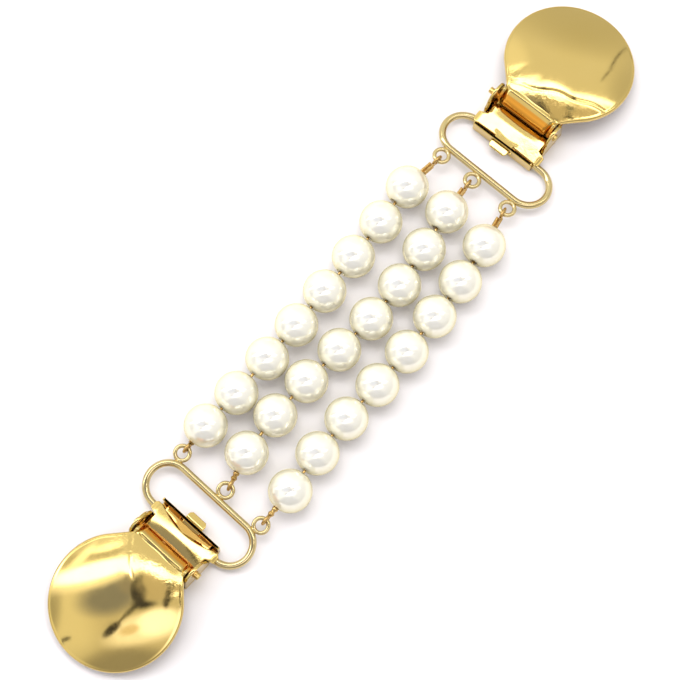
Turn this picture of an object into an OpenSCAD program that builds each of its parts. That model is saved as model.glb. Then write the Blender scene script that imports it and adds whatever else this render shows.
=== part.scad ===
// Sweater clip: three rows of round pearls between two sprung metal clips.
// X runs from clip A to clip B, Y across the rows, Z up from the surface it lies on.

/* [Pearls] */
// Diameter of one pearl
pearl_d = 8; // [7:0.1:8]
// Mean distance from pearl to pearl along a row
pearl_pitch = 8.3; // [8.3:0.05:8.8]
// Diameter of the hole drilled through a pearl
pearl_bore_d = 1.4; // [1.35:0.05:1.6]
// Diameter of the stringing wire
string_d = 0.56; // [0.4:0.02:0.6]

/* [Wire loops] */
// Diameter of the wire of a loop
loop_wire_d = 1.35; // [1.2:0.05:1.5]
// Distance between the two straight bars of a loop, centre to centre
loop_depth = 8.2; // [7.4:0.1:8.5]
// Width of a loop over its round ends
loop_width = 24.9; // [24.9:0.1:27]
// Outer diameter of the small rings soldered to a loop
ring_d = 3.5; // [3.3:0.1:3.6]
// Diameter of the wire of a small ring
ring_wire_d = 0.8; // [0.7:0.05:0.85]

/* [Clips] */
// Thickness of the sheet steel
sheet = 0.6; // [0.5:0.05:0.65]
// Diameter of the round face
face_d = 25; // [24:0.5:27]
// Height of the dome of the face over its rim
face_rise = 2.3; // [1.8:0.1:2.6]
// Slope of the closed face towards its far edge, in degrees
face_slope = 11; // [9:0.5:12]
// Distance between the inner sides of the two ears
ears_inside = 12.9; // [12.6:0.1:13.4]
// Reach of the base plate from the wire bar to its teeth
base_reach = 22.4; // [20:0.2:22.8]
// Number of teeth on each jaw
tooth_count = 7; // [5:1:9]
// Height of the teeth
tooth_h = 0.8; // [0.6:0.05:0.8]
// Diameter of the nubs that the lever turns on
nub_d = 1.5; // [1.2:0.1:1.6]

/* [Hidden] */
$fn = 48;
nub_gap = 0.07;
row_names = ["left", "middle", "right"];
pearl_count = 8;

// Where each pearl lies: x in steps of the pitch and y in millimetres, one line per place
// [left x, left y, middle x, middle y, right x, right y]
pearl_places = [
    [-3.67, 8.6, -3.57, -0.3, -3.62, -10.8],
    [-2.69, 8.2, -2.54, 0.1, -2.61, -10.2],
    [-1.67, 8.0, -1.52, -0.2, -1.62, -10.2],
    [-0.68, 7.9, -0.52, -1.1, -0.61, -10.6],
    [0.31, 8.0, 0.47, -1.9, 0.38, -10.8],
    [1.33, 8.1, 1.46, -1.9, 1.39, -10.6],
    [2.34, 8.4, 2.45, -1.1, 2.37, -10.1],
    [3.35, 8.9, 3.45, 0.2, 3.36, -9.2],
];

// The two ends: [side, turn of the loop, turn of the clip, place of the wire bar, place of the
// clip's own origin]; a place is [distance beyond the middle of the outermost pearls, y]
clip_a_end = [-1, -3.5, -3.2, [18.35, -0.3], [18.45, -0.7]];
clip_b_end = [1, -1.5, 0, [17.95, -0.3], [18.9, 0.55]];
// Where the small rings sit along the outer bar of each loop, left to right
rings_a = [9.7, -0.7, -9.7];
rings_b = [8, 0.6, -7.9];

// Shift that brings the middle of the whole piece over the origin
layout_shift = [-0.24, 0.86, 0];

bar_play = 0.1;
bar_z = sheet + loop_wire_d / 2 + bar_play;
pearl_r = pearl_d / 2;
ring_r = (ring_d - ring_wire_d) / 2;
ring_step = ring_r + (loop_wire_d + ring_wire_d) / 2 - 0.2;
eye_z = 3.2;
loop_lean = asin((eye_z - bar_z) / (loop_depth + ring_step + ring_r));
loop_half = (loop_width - loop_depth - loop_wire_d) / 2;
eye_wire_d = 0.56;
eye_r = (ring_wire_d + eye_wire_d) / 2 + 0.17;
eye_sides = 12;
crimp_d = 0.9;
crimp_gap = 0.15;
fold_width = 1.9;
fold_height = 0.9;

// Clip, seen from the side: s runs from beside the wire bar to the far edge of the face
pivot_s = 4.4;
pivot_z = 5;
ear_r = 2.4;
ear_rear = 1.2;
ear_front = 7.1;
wall_rear_a = -2.1;
wall_rear_b = -2.4;
wall_top = 3.6;
side_gap = 0.35;
plate_z = bar_z + loop_wire_d / 2 + 0.15;
plate_half = ears_inside / 2 - side_gap;
shoulder_half = 7.7;
shoulder_front = 0.75;
plate_rear_a = -1;
plate_rear_b = -1.4;
plate_bend = 3.7;
tongue_tip = -3.6;
tongue_half = 2;
root_half = 2.8;
root_rear = -1.2;
floor_half = 6.8;
jaw_clear = 0.3;
scoop_a = 1.45;
scoop_b = 0.1;
neck_half = ears_inside / 2 - side_gap;
lug_r = 1.15;
nub_length = 2.4;
neck_rear = 5.3;
neck_above_rim = 0.4;
flare_start = 0.9;
flare_end_angle = 52;
neck_top = 7.5;
face_r = face_d / 2;
face_s = neck_rear - 0.1 + face_r;
face_curl = 0.8;
face_z = neck_top - 0.55 - (face_r - face_curl) * tan(face_slope);
jaw_half = 5.9;
tooth_pitch = 2 * jaw_half / tooth_count;

function pearl_at(r, i) = [
    pearl_places[i][2 * r] * pearl_pitch,
    pearl_places[i][2 * r + 1],
    pearl_r
];
function turned(p, a) = [p[0] * cos(a) - p[1] * sin(a), p[0] * sin(a) + p[1] * cos(a), p[2]];
function beyond(end, place, z) = [end[0] * (3.5 * pearl_pitch + place[0]), place[1], z];
function bar_middle(end) = beyond(end, end[3], bar_z);
// A point of a loop: d across it from the hidden bar, b along the bar
function loop_point(end, d, b) = bar_middle(end)
    + turned([-end[0] * d * cos(loop_lean), b, d * sin(loop_lean)], end[1]);
// How far across the loop a ring lies, which follows the round ends of the loop
function ring_across(b) = abs(b) < loop_half
    ? loop_depth + ring_step
    : loop_depth / 2 + sqrt(pow(loop_depth / 2 + ring_step, 2) - pow(abs(b) - loop_half, 2));
function eye_at(end, b) = loop_point(end, ring_across(b) + ring_r, b);
function toward(p, q, d) = p + (q - p) * d / norm(q - p);
// A place along a string: the eye at clip A, the pearls, the eye at clip B
function string_place(r, i) = i < 0 ? eye_at(clip_a_end, rings_a[r])
    : i >= pearl_count ? eye_at(clip_b_end, rings_b[r])
    : pearl_at(r, i);

// Pearls, strung on one wire for each row
module pearl(r, i) {
    here = pearl_at(r, i);
    before = toward(here, string_place(r, i - 1), 1);
    after = toward(here, string_place(r, i + 1), 1);
    along = after - before;
    color("ivory")
        translate(layout_shift + here)
            rotate([0, acos(along[2] / norm(along)), atan2(along[1], along[0])])
                difference() {
                    sphere(d = pearl_d, $fn = 64);
                    cylinder(h = pearl_d + 2, d = pearl_bore_d, center = true);
                }
}

// A wire of eight sides through points that lie nearly level, with a diameter at each point
module wire_through(points, diameters) {
    sides = 8;
    last = len(points) - 1;
    function heading(i) = let (v = points[min(i + 1, last)] - points[max(i - 1, 0)])
        [v[0], v[1], 0] / norm([v[0], v[1]]);
    rings = [
        for (i = [0:last])
            let (h = heading(i))
                for (k = [0:sides - 1])
                    let (a = 360 * (k + 0.3) / sides)
                        points[i] + diameters[i] / 2 * [-h[1] * cos(a), h[0] * cos(a), sin(a)]
    ];
    polyhedron(
        points = rings,
        faces = concat(
            [[for (k = [0:sides - 1]) k]],
            [for (i = [0:last - 1])
                for (k = [0:sides - 1])
                    let (n = (k + 1) % sides)
                        [i * sides + k, (i + 1) * sides + k, (i + 1) * sides + n, i * sides + n]],
            [[for (k = [sides - 1:-1:0]) last * sides + k]]
        )
    );
}

// A round eye at the end of a string, hooked through a ring of the loop
module eye(centre, toward_point) {
    v = toward_point - centre;
    translate(centre)
        rotate([90, 0, atan2(v[1], v[0])])
            rotate_extrude($fn = eye_sides)
                translate([eye_r, 0])
                    circle(d = eye_wire_d, $fn = 6);
}

module string_wire(r) {
    eye_a = string_place(r, -1);
    eye_b = string_place(r, pearl_count);
    first = pearl_at(r, 0);
    last = pearl_at(r, pearl_count - 1);
    start = toward(eye_a, first, eye_r);
    finish = toward(eye_b, last, eye_r);
    crimp_a = toward(first, eye_a, pearl_r + crimp_gap);
    crimp_b = toward(last, eye_b, pearl_r + crimp_gap);
    points = concat(
        [start, crimp_a, toward(crimp_a, first, 0.1)],
        [for (i = [0:pearl_count - 1]) pearl_at(r, i)],
        [finish]
    );
    diameters = concat([crimp_d, crimp_d], [for (i = [0:pearl_count + 1]) string_d]);
    color("goldenrod")
        translate(layout_shift) {
            wire_through(points, diameters);
            eye(eye_a, first);
            eye(eye_b, last);
            fold_crimp(crimp_b, toward(eye_b, last, eye_r));
        }
}

// A flat crimp, folded over the string next to the last pearl
module fold_crimp(p, q) {
    v = q - p;
    translate(p)
        rotate([0, acos(v[2] / norm(v)) - 90, atan2(v[1], v[0])])
            translate([0, -fold_width / 2, -fold_height / 2])
                cube([norm(v), fold_width, fold_height]);
}

// A loop of round wire with three small rings soldered to its outer bar
module wire_loop(end, rings) {
    color("gold")
        translate(layout_shift + bar_middle(end))
            rotate([0, 0, end[1]])
                rotate([0, end[0] * loop_lean, 0])
                    union() {
                        for (x = [0, -end[0] * loop_depth])
                            translate([x, 0, 0])
                                rotate([90, 0, 0])
                                    cylinder(h = 2 * loop_half, d = loop_wire_d, center = true);
                        for (y = [1, -1])
                            translate([-end[0] * loop_depth / 2, y * loop_half, 0])
                                rotate([0, 0, y > 0 ? 0 : 180])
                                    rotate_extrude(angle = 180)
                                        translate([loop_depth / 2, 0])
                                            circle(d = loop_wire_d);
                        for (b = rings)
                            translate([-end[0] * ring_across(b), b, 0])
                                rotate_extrude()
                                    translate([ring_r, 0])
                                        circle(d = ring_wire_d, $fn = 24);
                    }
}

// Places a clip that is drawn from beside its wire bar towards its face
module at_end(end) {
    translate(layout_shift + beyond(end, end[4], 0))
        rotate([0, 0, end[2] + (end[0] < 0 ? 180 : 0)])
            children();
}

// Extrudes an outline drawn in s and z across the clip, between two values of y
module across(y0, y1) {
    translate([0, y1, 0])
        rotate([90, 0, 0])
            linear_extrude(height = y1 - y0)
                children();
}

// A row of teeth along y, at the edge s, pointing up or down
module teeth(s, z, up) {
    for (i = [0:tooth_count - 1])
        translate([s, -jaw_half + (i + 0.5) * tooth_pitch, z])
            rotate([90, 0, 90])
                linear_extrude(height = sheet)
                    polygon([
                        [-tooth_pitch / 2, -0.05 * up],
                        [tooth_pitch / 2, -0.05 * up],
                        [0.15, tooth_h * up],
                        [-0.15, tooth_h * up]
                    ]);
}

module ear_outline() {
    translate([pivot_s, pivot_z]) circle(r = ear_r);
    polygon([
        [ear_rear, 0],
        [ear_front, 0],
        [ear_front, 1.6],
        [pivot_s + ear_r - 0.02, pivot_z],
        [pivot_s - ear_r + 0.02, pivot_z],
        [ear_rear, 3]
    ]);
}

// The base: a floor with two upright ears, a slotted rear wall and a row of teeth
module clip_base(wall_rear) {
    outer = ears_inside / 2 + sheet;
    slot_half = tongue_half + jaw_clear;
    color("gold")
        difference() {
            union() {
                translate([wall_rear, -floor_half, 0])
                    cube([ear_rear - wall_rear + 0.5, 2 * floor_half, sheet]);
                translate([ear_rear, -outer, 0]) cube([ear_front - ear_rear, 2 * outer, sheet]);
                translate([ear_front - 0.5, -jaw_half, 0])
                    cube([base_reach - ear_front + 0.5, 2 * jaw_half, sheet]);
                translate([wall_rear, -floor_half, 0]) cube([sheet, 2 * floor_half, wall_top]);
                across(-outer, -ears_inside / 2) ear_outline();
                across(ears_inside / 2, outer) ear_outline();
                teeth(base_reach - sheet, sheet, 1);
            }
            translate([pivot_s, 0, pivot_z])
                rotate([90, 0, 0])
                    cylinder(h = 30, d = nub_d + 2 * nub_gap, center = true);
            translate([wall_rear - 1, -slot_half, plate_z - jaw_clear])
                cube([sheet + 2, 2 * slot_half, sheet + 2 * jaw_clear]);
        }
}

// The inner jaw: a plate over the wire bar, a tongue at the rear and teeth at the front
module clip_jaw(plate_rear, scoop) {
    top = plate_z + sheet;
    scoop_r = (plate_half * plate_half + scoop * scoop) / (2 * scoop);
    front = base_reach - sheet - jaw_clear;
    low = sheet + tooth_h + jaw_clear;
    color("khaki") {
        difference() {
            union() {
                translate([plate_rear, -shoulder_half, plate_z])
                    cube([shoulder_front - plate_rear, 2 * shoulder_half, sheet]);
                translate([shoulder_front - 0.2, -plate_half, plate_z])
                    cube([plate_bend - shoulder_front + 0.2, 2 * plate_half, sheet]);
            }
            translate([plate_rear + scoop - scoop_r, 0, plate_z - 1])
                cylinder(h = sheet + 2, r = scoop_r, $fn = 96);
        }
        across(-jaw_half, jaw_half)
            polygon([
                [plate_bend - 0.02, top],
                [plate_bend - 0.02, plate_z],
                [plate_bend + 1.6, low],
                [front, low],
                [front, low + sheet],
                [plate_bend + 1.9, low + sheet]
            ]);
        across(-root_half, root_half)
            polygon([
                [plate_rear + scoop + 0.3, top],
                [plate_rear + scoop + 0.3, plate_z],
                [root_rear, plate_z],
                [root_rear, top]
            ]);
        across(-tongue_half, tongue_half)
            polygon([
                [root_rear + 0.1, top],
                [root_rear + 0.1, plate_z],
                [tongue_tip, plate_z - 0.3],
                [tongue_tip, top - 0.3]
            ]);
        teeth(front - sheet, low, -1);
    }
}

// Side outline of the domed face: a shallow dome with its edge curled down
function dome_z(r, rise) = rise * (1 - pow(r / (face_r - face_curl), 2));
function dome_points(shrink, steps) = concat(
    [for (i = [0:steps])
        let (r = (face_r - face_curl) * i / steps)
            [r, dome_z(r, face_rise) - shrink]],
    [for (a = [30:30:90])
        [face_r - face_curl + (face_curl - shrink) * sin(a),
         (face_curl - shrink) * cos(a) - face_curl]]
);
function reversed(list) = [for (i = [len(list) - 1:-1:0]) list[i]];

module face() {
    translate([face_s, 0, face_z])
        rotate([0, face_slope, 0])
            rotate_extrude($fn = 96)
                polygon(concat(
                    dome_points(0, 10),
                    [[face_r, -face_curl - 0.3], [face_r - sheet, -face_curl - 0.3]],
                    reversed(dome_points(sheet, 10))
                ));
}

// The straight sides that widen from the neck into the round of the face
module neck_flare() {
    tangent = face_r * [-cos(flare_end_angle), sin(flare_end_angle)];
    translate([face_s, 0, face_z])
        rotate([0, face_slope, 0])
            translate([0, 0, neck_above_rim - sheet])
                linear_extrude(height = sheet)
                    for (side = [-1, 1])
                        polygon([
                            [flare_start - face_r, side * (neck_half - 1)],
                            [flare_start - face_r, side * neck_half],
                            [tangent[0], side * tangent[1]],
                            [tangent[0] + 1, side * (neck_half - 1)]
                        ]);
}

// The lever: the domed face with a neck, a rolled rear edge, two flanges and two nubs
module clip_lever() {
    fall = tan(face_slope);
    color("gold") {
        face();
        neck_flare();
        across(-neck_half, neck_half)
            polygon([
                [neck_rear, neck_top],
                [neck_rear - 1, neck_top - 1],
                [3.72, 5.4],
                [3.6, 4.3],
                [3.8, 3.6],
                [4.4, 3.6],
                [4.25, 4.3],
                [4.35, 5.25],
                [4.85, 6.1],
                [neck_rear + 0.25, neck_top - sheet],
                [neck_rear + 2.7, neck_top - sheet - 2.7 * fall],
                [neck_rear + 2.7, neck_top - 2.7 * fall]
            ]);
        across(-neck_half + 0.2, neck_half - 0.2)
            translate([4.3, 3.75]) circle(r = 0.5, $fn = 24);
        for (y = [-neck_half, neck_half - sheet])
            across(y, y + sheet) {
                translate([pivot_s, pivot_z]) circle(r = lug_r);
                polygon([
                    [neck_rear - 0.9, neck_top - 1.1],
                    [3.7, 5.3],
                    [4.3, 3.9],
                    [5.5, 4.6],
                    [6.6, neck_top - sheet - 1.2 * fall],
                    [neck_rear + 0.1, neck_top - 0.3]
                ]);
            }
        for (side = [-1, 1])
            translate([pivot_s, side * (neck_half - 0.2), pivot_z])
                rotate([-90 * side, 0, 0])
                    cylinder(h = nub_length, d = nub_d);
    }
}

module base_a() { at_end(clip_a_end) clip_base(wall_rear_a); }
module base_b() { at_end(clip_b_end) clip_base(wall_rear_b); }
module jaw_a() { at_end(clip_a_end) clip_jaw(plate_rear_a, scoop_a); }
module jaw_b() { at_end(clip_b_end) clip_jaw(plate_rear_b, scoop_b); }
module lever_a() { at_end(clip_a_end) clip_lever(); }
module lever_b() { at_end(clip_b_end) clip_lever(); }

for (r = [0:2])
    for (i = [0:pearl_count - 1])
        pearl(r, i);
for (r = [0:2])
    string_wire(r);
wire_loop(clip_a_end, rings_a);  // loop_a
wire_loop(clip_b_end, rings_b);  // loop_b
base_a();
base_b();
jaw_a();
jaw_b();
lever_a();
lever_b();
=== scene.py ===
import bpy
import numpy as np
from mathutils import Matrix, Vector


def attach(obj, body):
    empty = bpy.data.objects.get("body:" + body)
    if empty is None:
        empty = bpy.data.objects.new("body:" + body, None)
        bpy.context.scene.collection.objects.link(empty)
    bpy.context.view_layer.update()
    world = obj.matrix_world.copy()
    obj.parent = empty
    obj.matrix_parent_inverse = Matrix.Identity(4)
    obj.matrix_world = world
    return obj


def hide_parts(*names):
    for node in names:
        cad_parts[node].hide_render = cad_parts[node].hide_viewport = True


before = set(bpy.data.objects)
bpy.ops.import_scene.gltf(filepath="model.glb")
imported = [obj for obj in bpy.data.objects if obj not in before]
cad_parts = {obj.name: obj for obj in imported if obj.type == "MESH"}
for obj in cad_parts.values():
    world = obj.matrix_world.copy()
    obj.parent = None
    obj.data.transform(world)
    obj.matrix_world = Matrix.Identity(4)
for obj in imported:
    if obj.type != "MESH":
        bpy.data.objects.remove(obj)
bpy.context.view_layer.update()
scene = bpy.context.scene
mm = 0.001
# radius of the rounded edges of sheet metal, in mm
sheetEdge = 0.15

# Camera.

camera = {
    "place": (-83.259, -64.65, 390.37),  # mm, above the table and a little behind the rows
    "target": (-3.068, 0.828, 4.0),
    "up": (0.7482, 0.6109, 0.2588),
    "lens": 116.47,
    "sensor": 36.0,
}


def makeCamera(c):
    # looks from its place at the target; right = up x back, and the picture's own up = back x right
    data = bpy.data.cameras.new("camera")
    data.lens, data.sensor_width = c["lens"], c["sensor"]
    data.clip_start, data.clip_end = 0.01, 20
    eye = bpy.data.objects.new("camera", data)
    scene.collection.objects.link(eye)
    back = (Vector(c["place"]) - Vector(c["target"])).normalized()
    right = Vector(c["up"]).cross(back).normalized()
    turn = Matrix((right, back.cross(right), back)).transposed()
    eye.matrix_world = Matrix.Translation(Vector(c["place"]) * mm) @ turn.to_4x4()
    scene.camera = eye


makeCamera(camera)
scene.view_settings.view_transform = "Standard"
print("camera set")

# Meshes.


def gridFaces(nu, nv, closedU=False):
    # every cell of the grid joins its four corners; v wraps round to 0, and u as well where it is closed
    a, b = np.meshgrid(np.arange(nu if closedU else nu - 1), np.arange(nv), indexing="ij")
    c, d = (a + 1) % nu, (b + 1) % nv
    return np.stack([a * nv + b, c * nv + b, c * nv + d, a * nv + d], -1).reshape(-1, 4)


def outward(verts, faces, ends):
    # volume = sum of a . (b x c) / 6 over the triangles; where it is negative the faces are turned round
    tri = np.concatenate([faces[:, [0, 1, 2]], faces[:, [0, 2, 3]]])
    for e in ends:
        k = np.arange(1, len(e) - 1)
        tri = np.concatenate([tri, np.stack([np.full_like(k, e[0]), e[k], e[k + 1]], -1)])
    p = verts - verts.mean(0)
    volume = np.einsum("ij,ij->", p[tri[:, 0]], np.cross(p[tri[:, 1]], p[tri[:, 2]])) / 6
    if volume < 0:
        faces, ends = faces[:, ::-1], [e[::-1] for e in ends]
    return verts, faces, ends


def solid(points, closedU=False):
    # closed loops of points along u; the two ends get a flat face unless u is closed as well
    nu, nv = points.shape[:2]
    faces = gridFaces(nu, nv, closedU)
    last = np.arange(nv)
    ends = [] if closedU else [last[::-1].copy(), (nu - 1) * nv + last]
    return outward(points.reshape(-1, 3), faces, ends)


def makePiece(name, parts, material, body, nodes, slot, sharp=38.0, **masks):
    # joins closed solids into one mesh of one piece; each mask gives one number for each point
    verts = np.concatenate([p[0] for p in parts]) * mm
    offsets = np.cumsum([0] + [len(p[0]) for p in parts])
    faces = []
    for part, offset in zip(parts, offsets):
        faces += (part[1] + offset).tolist() + [(e + offset).tolist() for e in part[2]]
    mesh = bpy.data.meshes.new(name)
    mesh.from_pydata(verts.tolist(), [], faces)
    mesh.materials.append(material)
    mesh.polygons.foreach_set("use_smooth", np.ones(len(mesh.polygons), bool))
    mesh.set_sharp_from_angle(angle=np.radians(sharp))
    for key, mask in masks.items():
        layer = mesh.attributes.new(key, "FLOAT", "POINT")
        layer.data.foreach_set("value", np.asarray(mask(verts / mm), np.float32))
    mesh.update()
    piece = bpy.data.objects.new(name, mesh)
    scene.collection.objects.link(piece)
    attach(piece, body)
    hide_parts(*nodes)
    return piece


def smoothStep(x):
    # 3 x^2 - 2 x^3 between 0 and 1, flat outside
    x = np.clip(x, 0, 1)
    return x * x * (3 - 2 * x)


def fade(x, start, stop):
    # 0 before start, 1 beyond stop and smooth between them; start may be the larger one
    return smoothStep((x - start) / (stop - start))


def unit(v):
    # each row divided by its length
    return v / np.linalg.norm(v, axis=-1, keepdims=True)


def around(count):
    # angles spread evenly over a full turn
    return np.linspace(0, 2 * np.pi, count, endpoint=False)


def extended(rows, count):
    # the first and the last row said count times more
    return np.concatenate([np.repeat(rows[:1], count, 0), rows, np.repeat(rows[-1:], count, 0)])


def tube(path, radius, normal, sides, closed=False):
    # p + r (cos a * side + sin a * up): a circle of radius r carried along the path and square to it;
    # an open tube has rounded ends, which are more circles, of r cos t, moved outwards by r sin t
    path = np.asarray(path, float)
    radius = np.broadcast_to(np.asarray(radius, float), len(path)).copy()
    if closed:
        along = unit(np.roll(path, -1, 0) - np.roll(path, 1, 0))
    else:
        along = unit(np.gradient(path, axis=0))
        t = np.radians([25, 50, 70, 84])
        head = path[0] - along[0] * radius[0] * np.sin(t[::-1, None])
        tail = path[-1] + along[-1] * radius[-1] * np.sin(t[:, None])
        path = np.concatenate([head, path, tail])
        radius = np.concatenate([radius[0] * np.cos(t[::-1]), radius, radius[-1] * np.cos(t)])
        along = extended(along, len(t))
    side = unit(np.cross(along, np.asarray(normal, float)))
    up = np.cross(side, along)
    a = around(sides)
    ring = np.cos(a)[None, :, None] * side[:, None] + np.sin(a)[None, :, None] * up[:, None]
    return solid(path[:, None] + radius[:, None, None] * ring, closed)


def strip(path, half, thick, edge=sheetEdge, across=20):
    # sheet metal: a rounded rectangle, 2 half wide and thick high, carried along a bent line (s, z); a
    # point is line + n * height at width v, the ends are rounded like the edges, and it gives (s, v, z)
    path = np.asarray(path, float)
    half = np.broadcast_to(np.asarray(half, float), len(path))
    thick = np.full(len(path), thick)
    along = unit(np.gradient(path, axis=0))
    t = np.radians([22, 45, 68, 90])
    out, shrink = edge * np.sin(t), edge * (1 - np.cos(t))
    head, tail = path[0] - along[0] * out[::-1, None], path[-1] + along[-1] * out[:, None]
    path = np.concatenate([head, path, tail])
    half = np.concatenate([half[0] - shrink[::-1], half, half[-1] - shrink])
    thick = np.concatenate([thick[0] - 2 * shrink[::-1], thick, thick[-1] - 2 * shrink])
    along = extended(along, len(t))
    normal = np.stack([-along[:, 1], along[:, 0]], -1)
    # the outline goes along the top, round two corners, back along the underside and round the other two;
    # each point is one of the core rectangle plus the edge's radius in its own direction
    w = np.linspace(-1, 1, across + 1)
    q = np.radians([90, 60, 30, 0])
    down, up = q, q[::-1]
    one, flat = np.ones(len(q)), np.zeros(len(w))
    coreX = np.concatenate([w, one, one, w[::-1], -one, -one])
    coreY = np.concatenate([flat + 1, one, -one, flat - 1, -one, one])
    arcX = np.concatenate([flat, np.cos(down), np.cos(up), flat, -np.cos(down), -np.cos(up)])
    arcY = np.concatenate([flat + 1, np.sin(down), -np.sin(up), flat - 1, -np.sin(down), np.sin(up)])
    v = coreX * (half[:, None] - edge) + arcX * edge
    h = coreY * (thick[:, None] / 2 - edge) + arcY * edge
    points = path[:, None] + h[..., None] * normal[:, None]
    return np.stack([points[..., 0], v, points[..., 1]], -1)


def lengthAlong(line):
    # running sum of the distances from point to point
    return np.concatenate([[0], np.cumsum(np.linalg.norm(np.diff(line, axis=0), axis=1))])


def sampled(line, known, wanted):
    # the points of a line at other values of what is known at each of its own points
    return np.stack([np.interp(wanted, known, c) for c in line.T], -1)


def bend(corners, radius, step=0.35):
    # a line through the corners, each one rounded with an arc of about the radius, sampled every step
    corners = np.asarray(corners, float)
    out = [corners[:1]]
    for a, b, c in zip(corners[:-2], corners[1:-1], corners[2:]):
        u, w = unit(a - b), unit(c - b)
        cut = min(radius, 0.48 * np.linalg.norm(a - b), 0.48 * np.linalg.norm(c - b))
        t = np.linspace(0, 1, 7)[:, None]
        out.append((b + u * cut) * (1 - t) ** 2 + b * 2 * t * (1 - t) + (b + w * cut) * t**2)
    out.append(corners[-1:])
    line = np.concatenate(out)
    length = lengthAlong(line)
    even = np.union1d(np.linspace(0, length[-1], max(3, int(length[-1] / step))), length)
    even = even[np.concatenate([[True], np.diff(even) > 0.02])]
    return sampled(line, length, even)


# Materials.


def newMaterial(name):
    # a material with its shader, and what adds nodes to it
    material = bpy.data.materials.new(name)
    material.use_nodes = True
    nodes, links = material.node_tree.nodes, material.node_tree.links
    return material, nodes, links, nodes["Principled BSDF"]


def addNode(nodes, kind, **values):
    # a name that is one of the node's inputs sets that input, any other one sets an option of the node
    node = nodes.new(kind)
    for key, value in values.items():
        if key in node.inputs:
            node.inputs[key].default_value = value
        else:
            setattr(node, key, value)
    return node


def setInputs(node, values):
    # each value goes onto the socket of its name
    for key, value in values.items():
        node.inputs[key].default_value = value


def noise(nodes, links, place, scale, detail, roughness):
    # noise in the piece's own coordinates, which are metres
    texture = addNode(nodes, "ShaderNodeTexNoise", Scale=scale, Detail=detail, Roughness=roughness)
    links.new(place.outputs["Object"], texture.inputs["Vector"])
    return texture.outputs["Fac"]


def mapRange(nodes, links, source, across, onto, **options):
    # the range "across" of the source is stretched over the range "onto"
    node = addNode(nodes, "ShaderNodeMapRange", **options)
    setInputs(node, dict(zip(("From Min", "From Max", "To Min", "To Max"), (*across, *onto))))
    links.new(source, node.inputs["Value"])
    return node.outputs["Result"]


def mixColors(nodes, links, factor, first, second):
    # each of the two is a colour or another node's output
    node = addNode(nodes, "ShaderNodeMix", data_type="RGBA")
    links.new(factor, node.inputs["Factor"])
    for key, color in (("A", first), ("B", second)):
        if isinstance(color, tuple):
            node.inputs[key].default_value = (*color, 1)
        else:
            links.new(color, node.inputs[key])
    return node.outputs["Result"]


def goldMaterial(name, g):
    # polished plating: the colour drifts a little in broad clouds, and where a piece has its mask for it the
    # base colour is painted amber as a painted reflection of gold mirrored in gold; fine scuffs change the
    # roughness, a faint ripple moves the reflections, and there are small pits where a piece has its "mark"
    # mask
    material, nodes, links, shader = newMaterial(name)
    shader.inputs["Metallic"].default_value = 1.0
    place = addNode(nodes, "ShaderNodeTexCoord")
    cloud = noise(nodes, links, place, g["cloudScale"], 2.0, 0.5)
    tint = mixColors(nodes, links, cloud, g["deep"], g["pale"])
    warm = addNode(nodes, "ShaderNodeAttribute", attribute_name="warm")
    paintedAmberTint = mixColors(nodes, links, warm.outputs["Fac"], tint, g["warm"])
    links.new(paintedAmberTint, shader.inputs["Base Color"])
    scuff = noise(nodes, links, place, g["scuffScale"], 4.0, 0.6)
    links.new(mapRange(nodes, links, scuff, g["scuffRange"], g["roughness"]), shader.inputs["Roughness"])
    first = addNode(nodes, "ShaderNodeBump", Strength=g["ripple"], Distance=g["rippleDepth"])
    links.new(noise(nodes, links, place, g["rippleScale"], 1.5, 0.45), first.inputs["Height"])
    mark = addNode(nodes, "ShaderNodeAttribute", attribute_name="mark")
    pressed = addNode(nodes, "ShaderNodeMath", operation="MULTIPLY")
    links.new(noise(nodes, links, place, g["pitScale"], 3.0, 0.6), pressed.inputs[0])
    links.new(mark.outputs["Fac"], pressed.inputs[1])
    second = addNode(nodes, "ShaderNodeBump", Strength=g["pits"], Distance=g["pitDepth"])
    links.new(pressed.outputs["Value"], second.inputs["Height"])
    links.new(first.outputs["Normal"], second.inputs["Normal"])
    links.new(second.outputs["Normal"], shader.inputs["Normal"])
    return material


def pearlMaterial(name, p):
    # lacquered bead: a cool milky body that mirrors part of the light like nacre, under a coat whose
    # yellow-green tint evens it out face on and deepens where it is seen aslant; a soft cloud keeps the
    # beads from being one flat colour
    material, nodes, links, shader = newMaterial(name)
    place = addNode(nodes, "ShaderNodeTexCoord")
    cloud = noise(nodes, links, place, p["cloudScale"], 2.0, 0.5)
    links.new(mixColors(nodes, links, cloud, p["cream"], p["milk"]), shader.inputs["Base Color"])
    dapple = noise(nodes, links, place, p["dappleScale"], 2.0, 0.5)
    links.new(mapRange(nodes, links, dapple, p["dappleRange"], p["roughness"]), shader.inputs["Roughness"])
    setInputs(shader, {
        "Metallic": p["nacre"],
        "IOR": p["ior"],
        "Specular Tint": (*p["edgeTint"], 1),
        "Coat Weight": 1.0,
        "Coat IOR": p["coatIor"],
        "Coat Roughness": p["coatRoughness"],
        "Coat Tint": (*p["coatTint"], 1),
        "Subsurface Weight": p["glow"],
        "Subsurface Radius": p["glowReach"],
        "Subsurface Scale": 1.0,
    })
    return material


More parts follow.
